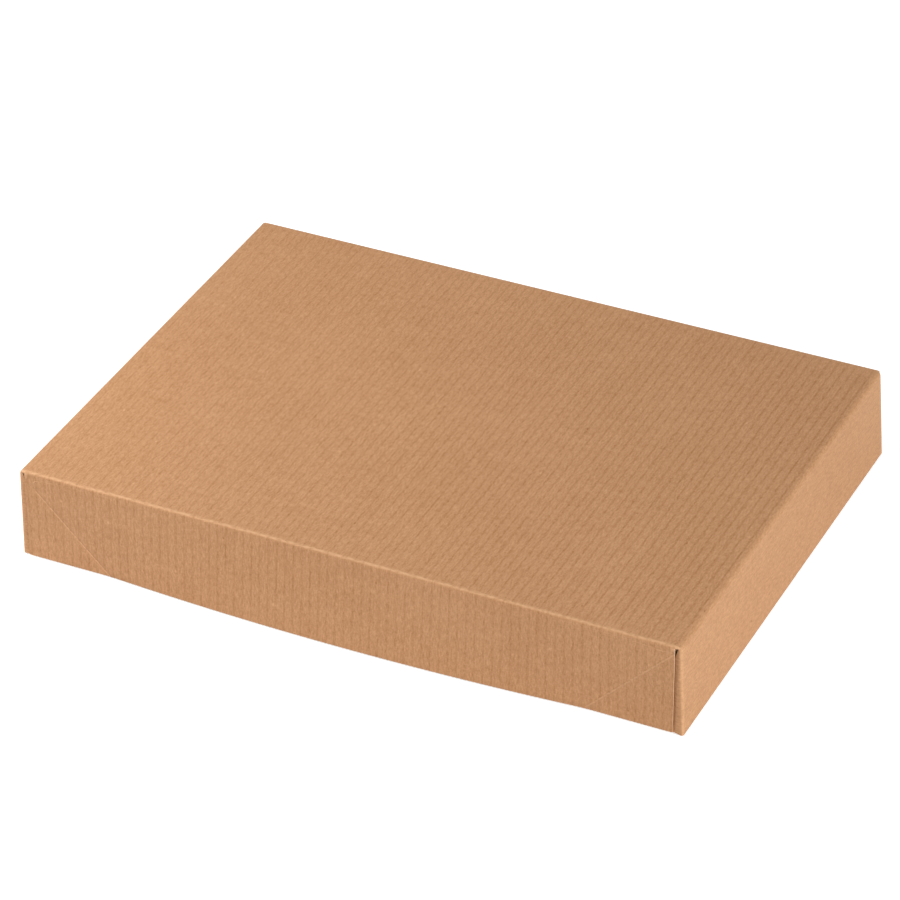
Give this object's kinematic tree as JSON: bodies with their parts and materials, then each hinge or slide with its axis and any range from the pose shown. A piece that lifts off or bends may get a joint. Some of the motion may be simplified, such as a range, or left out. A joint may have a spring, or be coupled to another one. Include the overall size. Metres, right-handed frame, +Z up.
{
  "type": "apparel box",
  "caption": "Shallow rectangular folded paperboard box with a full-depth lift-off lid, striped kraft finish, for folded clothes.",
  "frame": {"origin": "on the floor under the middle of the box, at the centre of the base's underside", "axes": "+X along the long walls, +Y across to the rear long wall, +Z up through the lid"},
  "size_m": [0.2966, 0.2262, 0.0418],
  "materials": {
    "kraft_base": "matte",
    "kraft_lid": "matte"
  },
  "bodies": {
    "base": {"base": "kraft_base"},
    "lid": {"lid": "kraft_lid"}
  },
  "joints": [
    {"name": "lid_lift", "type": "slide", "parent": "base", "child": "lid", "axis": [0, 0, 1], "range_m": [0, 0.09]}
  ]
}
